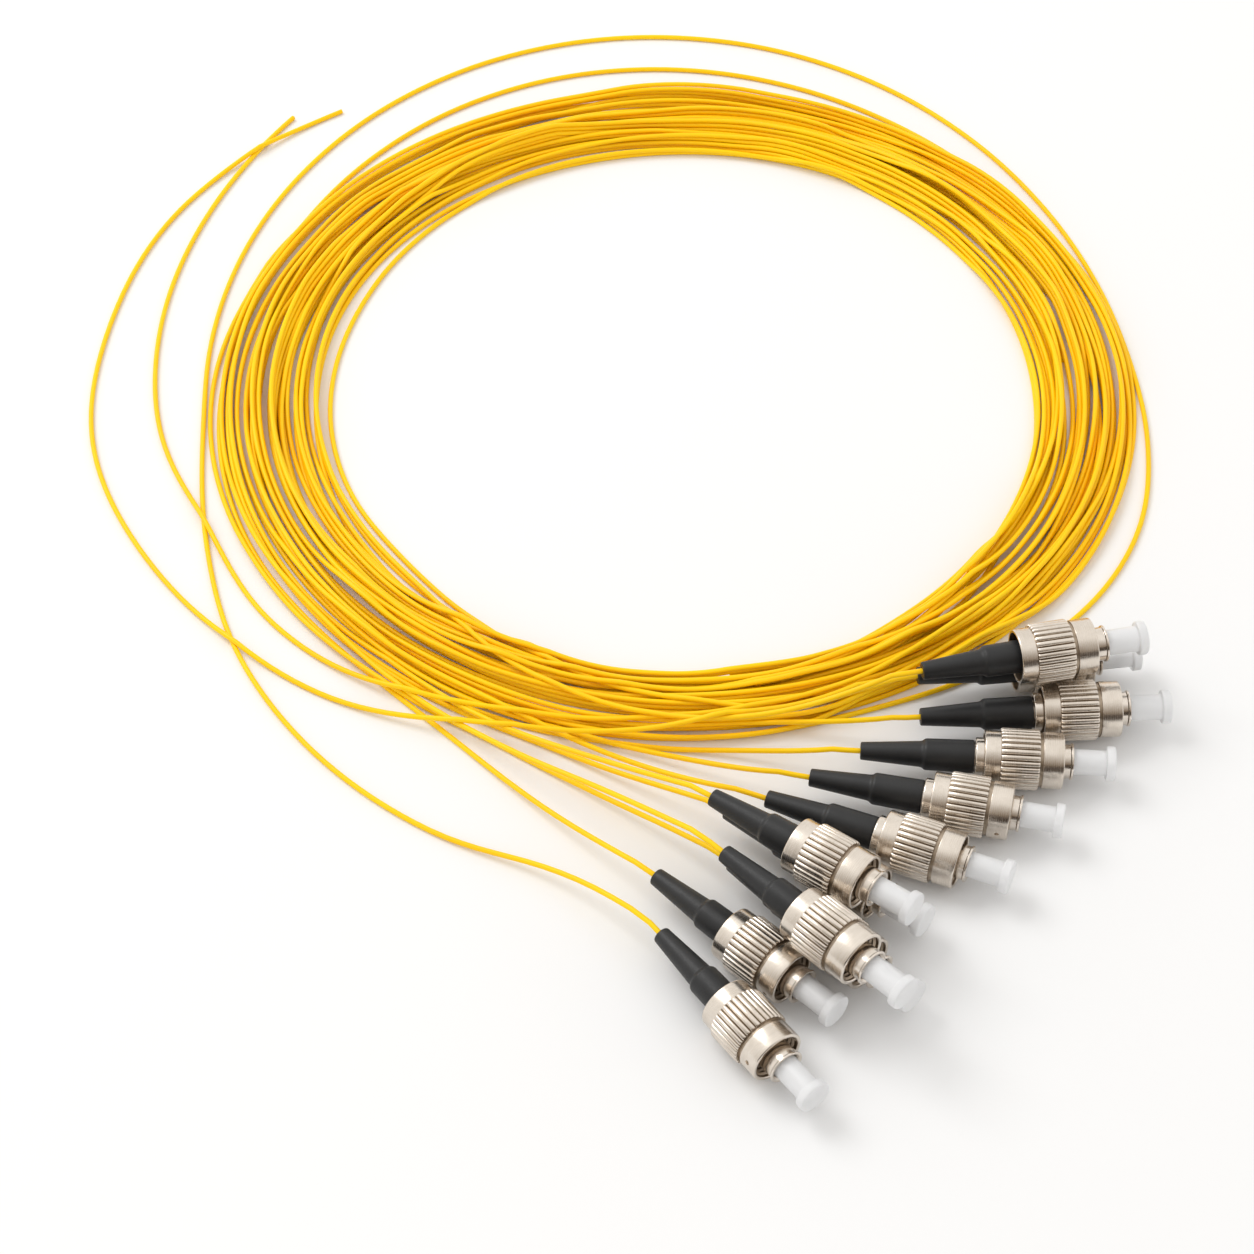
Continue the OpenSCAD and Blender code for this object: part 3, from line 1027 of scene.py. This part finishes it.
@dataclass
class FerruleSpring(FixedFitting):
    """Compression spring behind the ferrule's flange."""

    title, node, finish = "ferrule_springs", "springs", SPRING_STEEL
    front: float = -8.02
    back: float = -11.58
    outer_radius: float = 1.9
    wire_radius: float = 0.24
    turns: float = 5.0

    def mesh(self) -> Mesh:
        """Coils the wire."""
        return dress(spiral("spring_wire", {
            "Turns": self.turns, "Radius": self.outer_radius - self.wire_radius,
            "Height": self.front - self.back - 2 * self.wire_radius, "Start": self.back + self.wire_radius,
            "Section Radius": self.wire_radius, "Sides": 10, "Steps": 32, "Finish": self.finish.material(),
        }), crease=60)


@dataclass
class StrainReliefBoot(FixedFitting):
    """Black boot: thick over the barrel, a shoulder, then a long taper."""

    title, node, finish = "relief_boots", "boots", BLACK_RUBBER
    front: float = -12.4
    length: float = 18.5
    front_radius: float = 2.75
    thick_length: float = 8.0
    thick_radius: float = 2.6
    step_length: float = 0.5
    slim_radius: float = 2.15
    tail_radius: float = 1.45
    cord_hole: float = 0.55
    crimp_bore: float = 1.8
    barrel_bore: float = 2.25
    barrel_depth: float = 4.4

    def mesh(self) -> Mesh:
        """Turns the boot, from its front face at station 0 backwards."""
        thick, tail = -self.thick_length, -self.length
        return dress(as_mesh(revolve([
            (self.barrel_bore, 0, 0.1), (self.front_radius, 0, 0.35), (self.thick_radius, thick, 0.3),
            (self.slim_radius, thick - self.step_length, 0.35), (self.tail_radius, tail, 0.25),
            (self.cord_hole, tail, 0.1), (self.cord_hole, thick, 0), (self.crimp_bore, thick, 0),
            (self.crimp_bore, -self.barrel_depth, 0), (self.barrel_bore, -self.barrel_depth, 0),
        ]), "boot", self.finish), crease=50)

    def seat(self, place: Connector) -> Matrix:
        """Puts the boot where it has crept to."""
        return place.matrix(self.front - place.boot_back)


# ---- cords

@dataclass(frozen=True)
class Layer:
    """One layer of the ring of cord."""

    cords: int
    radius: float
    angle: float
    drift: float
    off_centre: float
    towards: float


@dataclass(frozen=True)
class Lay:
    """How one cord lies in the ring: its layer and lane, where it joins, its turns and its bulges.

    A bulge is its first angle, its last and its height. One that outlasts the cord tucks its cut
    end into the ring.
    """

    layer: int
    lane: int
    joins: float
    turns: float
    bulges: tuple[Place, ...] = ()


@dataclass
class CordPile:
    """The twelve cords, laid on the floor and on each other in turn.

    A cord's plan is its radius about the ring's centre at an angle that runs clockwise from the
    ring's nearest point. Its height follows from what already lies under it.
    """

    diameter: float = 0.9
    centre: Spot = (-36.5, 110.0)
    stations: int = 240
    winding_step: float = 15.0
    # Unevenness of the winding: its height, periods with their shares, fades at both ends, and seed
    wander: float = 1.6
    waves: tuple[Spot, ...] = ((410, 0.55), (230, 0.5), (150, 0.35), (95, 0.2))
    phases: float = 6.28
    fades: Spot = (60, 40)
    seed: int = 100
    smoothings: int = 6
    # A strand rests on those under it, this many diameters from them, and sags between until it is still
    spacing: float = 1.04
    sag: float = 0.0267
    still: float = 1e-4
    passes: int = 900
    held: int = 2
    # Lengths as sold, in metres
    stated_length: float = 1.5
    stated_length_on_top: float = 1.6
    # Stations of a connector where its cord starts and leaves the boot, and how far it then runs straight
    start: float = -20.05
    boot_tail: float = -30.9
    points_inside: int = 8
    straight: Spot = (0.6, 3.5)
    # The boot that reaches over the ring: its angle, the radius it leaves free, and how that opens out
    over_angle: float = 328
    over_radius: float = 79.2
    over_width: float = 9
    over_slope: float = 0.3
    over_turns: Spot = (60, 1060)
    laid: tuple[int, ...] = (9, 2, 1, 8, 5, 4, 10, 7, 6, 3, 12, 11)
    under_boot: tuple[int, ...] = (9, 2, 1)
    layers: tuple[Layer, ...] = (
        Layer(3, 86.0, 84, -5.9, 0.8, 60),
        Layer(3, 85.6, 34, -5.9, 1.2, 20),
        Layer(4, 84.6, 46, -5.9, 0.8, 250),
        Layer(2, 64.2, 50, 3.9, 0.0, 0),
    )
    lays: tuple[Lay, ...] = (
        Lay(1, 0, 84, 2.54, ((84, 262, 15.5), (262, 345, 6))),
        Lay(1, 1, 46, 2.78, ((100, 235, 8.5),)),
        Lay(3, 0, 46, 2.78),
        Lay(2, 0, 34, 2.82),
        Lay(2, 1, 26, 2.9, ((1021, 1101, 2.5),)),
        Lay(3, 1, 36, 2.88, ((1031, 1111, 6.5),)),
        Lay(3, 2, 24, 2.94, ((1034, 1114, 5),)),
        Lay(2, 2, 14, 2.94, ((1024, 1104, 8),)),
        Lay(1, 2, 5, 2.94, ((1015, 1095, 6.5),)),
        Lay(3, 3, -10, 3, ((1015, 1095, 7.3),)),
        Lay(4, 1, 54, 2.76),
        Lay(4, 0, 50, 2.77),
    )
    leads: tuple[tuple[Spot, ...], ...] = (
        ((-56.5, -1), (-75, 7), (-92, 19), (-104, 32.5), (-113, 48), (-119.5, 70.5)),
        ((-56, 9), (-71, 24), (-86, 38.5)),
        ((-46.5, 8), (-65, 22.5), (-83.5, 37.5)),
        ((-48, 13.5), (-67, 26.5)),
        ((-44.5, 18), (-59.5, 26.5)),
        ((-49, 16.5), (-69.5, 30.5)),
        ((-40, 19), (-55, 27)),
        ((-36.5, 22.5),),
        ((-26, 24.5),),
        ((-10.5, 29.5),),
        ((-22, 28), (-47.5, 32), (-69.5, 45), (-82, 61)),
        ((-18.5, 33), (-44.5, 36), (-65.5, 47.5), (-78.5, 60)),
    )
    ends: ClassVar[dict[int, tuple[Spot, ...]]] = {
        11: ((-12, 34.5), (-32, 28.5), (-56.5, 27.5), (-77, 30.5), (-96.5, 37), (-111, 47), (-130, 68.5),
             (-142.5, 97), (-142.5, 125.5), (-131.5, 160), (-102.5, 188)),
        12: ((-14, 36), (-39.5, 30.5), (-65, 32.5), (-88, 39), (-107.5, 54), (-120.5, 77), (-130, 97.5),
             (-133, 122.5), (-127, 156.5), (-120, 173), (-111.5, 187)),
    }

    def tail(self, place: Connector) -> float:
        """Gives the station at which a boot's tail ends."""
        return self.boot_tail - place.boot_back

    def lane_radius(self, lay: Lay, angle: float) -> float:
        """Gives the radius at which a cord is meant to lie.

        Args:
            lay: How the cord lies.
            angle: An angle along it.

        Returns:
            The radius there.
        """
        layer = self.layers[lay.layer - 1]
        radius = layer.radius + layer.drift * ((angle - layer.angle) / 360 + lay.lane / layer.cords)
        radius += layer.off_centre * math.cos(math.radians(angle - layer.towards))
        for start, end, height in lay.bulges:
            if start < angle < end:
                radius += height * math.sin(math.pi * (angle - start) / (end - start)) ** 2
        return radius

    def strayed(self, angles: np.ndarray, number: int) -> np.ndarray:
        """Gives the unevenness of a hand-wound cord, the same in each run.

        Args:
            angles: Angles along the cord.
            number: The cord's number.

        Returns:
            What to add to the radius at each angle.
        """
        source = np.random.default_rng(self.seed + number)
        total = np.zeros_like(angles)
        for period, share in self.waves:
            height = share * source.normal()
            total += height * np.sin(2 * np.pi * angles / period + source.uniform(0, self.phases))
        fade_in = np.clip((angles - angles[0]) / self.fades[0], 0, 1)
        fade_out = np.clip((angles[-1] - angles) / self.fades[1], 0, 1)
        return self.wander * total * fade_in * fade_out

    def plan(self, place: Connector) -> tuple[np.ndarray, np.ndarray]:
        """Gives the chosen points of a cord's plan.

        Args:
            place: The cord's connector.

        Returns:
            Angles and radii, from the boot's tail to the cut end.
        """
        lay = self.lays[place.number - 1]
        angles: list[float] = []
        radii: list[float] = []

        def follow(*spots: Spot) -> None:
            """Adds points of the floor, each less than half a turn on."""
            for spot in spots:
                x, y = spot[0] - self.centre[0], spot[1] - self.centre[1]
                angle = (-90 - math.degrees(math.atan2(y, x))) % 360
                near = angles[-1] if angles else 0
                angles.append(angle - 360 * round((angle - near) / 360))
                radii.append(math.hypot(x, y))

        follow(*(place.point(self.tail(place) - run)[:2] for run in self.straight))
        follow(*self.leads[place.number - 1])
        turns = np.arange(lay.joins, lay.joins + 360 * lay.turns, self.winding_step)
        lanes = np.array([self.lane_radius(lay, angle) for angle in turns])
        angles.extend(turns)
        radii.extend(lanes + self.strayed(turns, place.number))
        follow(*self.ends.get(place.number, ()))
        return np.array(angles), np.array(radii)

    def fair(
        self, angles: np.ndarray, radii: np.ndarray, clear_boot: bool,
    ) -> tuple[int, np.ndarray, np.ndarray]:
        """Runs a smooth curve through the points of a plan, on the ring's common stations.

        Args:
            angles: Angles of the points.
            radii: Their radii.
            clear_boot: Keeps the cord inside the boot that reaches over the ring.

        Returns:
            Number of the first station, the stations' angles and their radii.
        """
        step = 360 / self.stations
        first = math.ceil(angles[0] / step)
        at = np.arange(first, math.floor(angles[-1] / step) + 1) * step
        slope = np.gradient(radii, angles)
        left = np.clip(np.searchsorted(angles, at, side="right") - 1, 0, len(angles) - 2)
        span = angles[left + 1] - angles[left]
        t = (at - angles[left]) / span
        smooth = ((2 * t**3 - 3 * t**2 + 1) * radii[left] + (t**3 - 2 * t**2 + t) * span * slope[left]
                  + (3 * t**2 - 2 * t**3) * radii[left + 1] + (t**3 - t**2) * span * slope[left + 1])
        if clear_boot:
            away = np.abs((at - self.over_angle + 180) % 360 - 180)
            limit = self.over_radius + np.maximum(0, away - self.over_width) * self.over_slope
            under = (at > self.over_turns[0]) & (at < self.over_turns[1])
            smooth = np.where(under, np.minimum(smooth, limit), smooth)
        for _ in range(self.smoothings):
            smooth[1:-1] = 0.5 * smooth[1:-1] + 0.25 * (smooth[2:] + smooth[:-2])
        return first, at, smooth

    def rest(self, radius: float, strands: list[Spot]) -> float:
        """Gives the lowest height at which a strand clears the floor and others.

        Args:
            radius: Where the strand lies.
            strands: Radius and height of each other strand at this station.

        Returns:
            The height of its centre.
        """
        touch = self.spacing * self.diameter
        lowest = self.diameter / 2
        for other, height in strands:
            apart = abs(other - radius)
            if apart < touch:
                lowest = max(lowest, height + math.sqrt(touch**2 - apart**2))
        return lowest

    def hang(self, rests: np.ndarray, before: float, held: int) -> np.ndarray:
        """Lets a stretch of cord hang between the points where it rests.

        Args:
            rests: The lowest height at each station.
            before: The height that the stretch starts from.
            held: How many stations keep that height.

        Returns:
            The height at each station.
        """
        part = rests.copy()
        for _ in range(self.passes):
            part[:held] = before
            left = np.concatenate([[before], part[:-1]])
            right = np.concatenate([part[1:], part[-1:]])
            lowered = np.maximum(rests, 0.5 * (left + right) - self.sag)
            change = np.abs(lowered - part).max()
            part = lowered
            if change < self.still:
                break
        part[:held] = before
        return part

    def settle(
        self, first: int, radii: np.ndarray, start_height: float, pile: list[list[Spot]],
    ) -> np.ndarray:
        """Lets one cord down on the pile, three quarters of a turn at a time.

        Args:
            first: Number of its first station.
            radii: Its radius at each station.
            start_height: Height of the boot that it leaves.
            pile: Radius and height of the strands at each station of the ring, which it joins.

        Returns:
            Its height at each station.
        """
        heights = np.empty(len(radii))
        stretch = self.stations * 3 // 4
        for begin in range(0, len(radii), stretch):
            part = range(begin, min(len(radii), begin + stretch))
            rests = np.array([
                self.rest(radii[index], pile[(first + index) % self.stations]) for index in part
            ])
            before, held = (heights[begin - 1], 0) if begin else (start_height, self.held)
            heights[part.start:part.stop] = self.hang(rests, before, held)
            for index in part:
                pile[(first + index) % self.stations].append((radii[index], heights[index]))
        return heights

    def routes(self, fan: ConnectorFan) -> dict[int, np.ndarray]:
        """Lays all the cords.

        Args:
            fan: The connectors.

        Returns:
            Each cord's centreline, from inside its boot to its cut end.
        """
        places = {place.number: place for place in fan}
        pile: list[list[Spot]] = [[] for _ in range(self.stations)]
        routes = {}
        for number in self.laid:
            place = places[number]
            first, angles, radii = self.fair(*self.plan(place), number not in self.under_boot)
            heights = self.settle(first, radii, place.origin.z, pile)
            turn = np.radians(-90 - angles)
            x, y = self.centre[0] + radii * np.cos(turn), self.centre[1] + radii * np.sin(turn)
            inside = np.linspace(self.start, self.tail(place), self.points_inside)
            routes[number] = np.concatenate([
                [place.point(station)[:] for station in inside], np.stack([x, y, heights], 1),
            ])
        return routes

    def tube(self, name: str, route: np.ndarray) -> Object:
        """Draws a cord as a tube along its route.

        Args:
            name: The cord's name.
            route: Its centreline.

        Returns:
            The cord's object.
        """
        curve = bpy.data.curves.new(name, "CURVE")
        curve.dimensions = "3D"
        curve.bevel_depth = self.diameter / 2 * MM
        curve.bevel_resolution = 3
        curve.use_fill_caps = True
        line = curve.splines.new("POLY")
        line.points.add(len(route) - 1)
        line.points.foreach_set("co", np.hstack([route * MM, np.ones((len(route), 1))]).ravel())
        line.use_smooth = True
        curve.materials.append(YELLOW_JACKET.material())
        return put(name, curve)

    def build(self, fan: ConnectorFan) -> None:
        """Args:
            fan: The connectors.
        """
        routes = self.routes(fan)
        for place in fan:
            cord = self.tube(f"cord_{place.tag}", routes[place.number])
            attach(cord, "set")
            on_top = place.number in self.ends
            nodes = [f"coil_{self.lays[place.number - 1].layer}", "cord_leads"] + ["cord_ends"] * on_top
            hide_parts(*nodes)
            YELLOW_JACKET.slot
            tail = place.point(self.tail(place)) * MM
            tuple(tail)
            self.stated_length_on_top if on_top else self.stated_length
            self.diameter * MM
            LOG.info("cord_%s: %d points", place.tag, len(routes[place.number]))


# ---- studio

@dataclass
class Studio:
    """Floor, lamp, dark card, surroundings and camera, in metres."""

    lens: float = 93.30
    sensor: float = 36
    clip: Spot = (0.01, 20)
    aim: Place = (-0.0465, 0.053, 0.0)
    distance: float = 0.5546
    elevation: float = 49.0
    floor_size: float = 8.0
    floor_colour: Colour = (0.86, 0.86, 0.86)
    sheet_gloss: float = 0.1
    # A brown card in front of the set that only mirroring pieces see
    card_low: Place = (-1.2, -0.9, 0.01)
    card_high: Place = (1.2, -0.9, 0.5)
    card_colour: Colour = (0.05, 0.035, 0.025)
    key_place: Place = (-0.75, 0.55, 1.0)
    key_size: float = 0.7
    key_power: float = 6.5
    sky_light: float = 0.93
    sky_colour: Colour = (1, 0.985, 0.965)
    # The room that metal mirrors: dark in front, bright behind, and where one passes into the other
    dark_side: Colour = (0.26, 0.20, 0.145)
    bright_side: Colour = (1.05, 1.035, 1.01)
    passage: Spot = (-0.85, -0.15)

    def camera(self) -> None:
        """Sets the camera in front of and above the set."""
        data = bpy.data.cameras.new("camera")
        data.lens = self.lens
        data.sensor_width = self.sensor
        data.clip_start, data.clip_end = self.clip
        camera = put("camera", data)
        angle = math.radians(self.elevation)
        back = Vector((0, -math.cos(angle), math.sin(angle)))
        camera.location = Vector(self.aim) + back * self.distance
        camera.rotation_euler = (math.pi / 2 - angle, 0, 0)
        bpy.context.scene.camera = camera

    def lamp(self) -> None:
        """Hangs the square soft lamp that faces the set."""
        data = bpy.data.lights.new("key", "AREA")
        data.shape, data.size, data.energy = "SQUARE", self.key_size, self.key_power
        lamp = put("key", data)
        lamp.location = self.key_place
        lamp.rotation_mode = "QUATERNION"
        lamp.rotation_quaternion = (Vector(self.aim) - Vector(self.key_place)).to_track_quat("-Z", "Y")

    def world(self) -> None:
        """Lights the set from all round, and shows white to the camera and a room to metal."""
        world = bpy.data.worlds.new("studio")
        world.use_nodes = True
        world.node_tree.nodes.clear()
        graph = Graph(world.node_tree)

        def background(colour: object, strength: float = 1.0) -> NodeSocket:
            """Adds a Background node."""
            values = {"Color": colour, "Strength": strength}
            return graph.node("ShaderNodeBackground", values).outputs[0]

        def either(share: object, first: object, second: object) -> NodeSocket:
            """Adds a Mix Shader node."""
            return graph.node("ShaderNodeMixShader", {0: share, 1: first, 2: second}).outputs[0]

        way = graph.node("ShaderNodeSeparateXYZ", {0: graph.node("ShaderNodeTexCoord").outputs["Generated"]})
        room = graph.mix(graph.fit(way.outputs[1], *self.passage), self.dark_side, self.bright_side)
        path = graph.node("ShaderNodeLightPath").outputs
        direct = graph.math("MAXIMUM", path["Is Camera Ray"], path["Is Transmission Ray"])
        light = background((*self.sky_colour, 1), self.sky_light)
        both = either(direct, light, background((1, 1, 1, 1)))
        graph.node("ShaderNodeOutputWorld", {0: either(path["Is Glossy Ray"], both, background(room))})
        bpy.context.scene.world = world

    def sheet(self, name: str, low: Place, high: Place, colour: Colour, matt: float) -> Object:
        """Puts up a flat sheet.

        Args:
            name: Its name.
            low: Its first corner.
            high: The corner across from it.
            colour: Its colour.
            matt: Its roughness.

        Returns:
            The staged object.
        """
        paint = bpy.data.materials.new(name)
        paint.use_nodes = True
        inputs = paint.node_tree.nodes["Principled BSDF"].inputs
        inputs["Base Color"].default_value = (*colour, 1)
        inputs["Roughness"].default_value = matt
        inputs["Specular IOR Level"].default_value = self.sheet_gloss
        mesh = bpy.data.meshes.new(name)
        corners = [low, (high[0], *low[1:]), high, (low[0], *high[1:])]
        mesh.from_pydata(corners, [], [tuple(range(len(corners)))])
        mesh.materials.append(paint)
        made = put(name, mesh)
        made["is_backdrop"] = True
        return made

    def build(self) -> None:
        """Sets up the whole studio."""
        half = self.floor_size / 2
        self.sheet("floor", (-half, -half, 0), (half, half, 0), self.floor_colour, matt=0.9)
        card = self.sheet("dark_card", self.card_low, self.card_high, self.card_colour, matt=1.0)
        for rays in ("camera", "diffuse", "shadow", "transmission"):
            setattr(card, f"visible_{rays}", False)
        self.lamp()
        self.world()
        self.camera()
        bpy.context.scene.view_settings.view_transform = "Standard"


def dress_inner_nodes() -> None:
    """Gives the CAD nodes that stay their materials."""
    finishes = {"retaining_rings": SPRING_STEEL, "crimp_sleeves": PLAIN_BRASS}
    finishes.update({f"washer_{number:02d}": SPRING_STEEL for number in CONNECTORS})
    for node, finish in finishes.items():
        inner = frame["nodes"][node]
        for index in range(len(inner.material_slots)):
            inner.material_slots[index].material = finish.material()
        LOG.info("%s: finished as %s", node, finish.name)


def main() -> None:
    """Builds the set in order and reports each piece."""
    cad_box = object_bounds()
    fan = ConnectorFan()
    Studio().build()
    CordPile().build(fan)
    for fitting in (CouplingNut, DustCap, Ferrule, PlugFrame, RearBody, FerruleSpring, StrainReliefBoot):
        fitting().build(fan)
    dress_inner_nodes()
    ({
        "cad": [list(corner) for corner in cad_box],
        "visual": [list(corner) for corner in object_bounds()],
    })


if __name__ == "__main__":
    logging.basicConfig(level=logging.INFO, format="%(message)s")
    main()
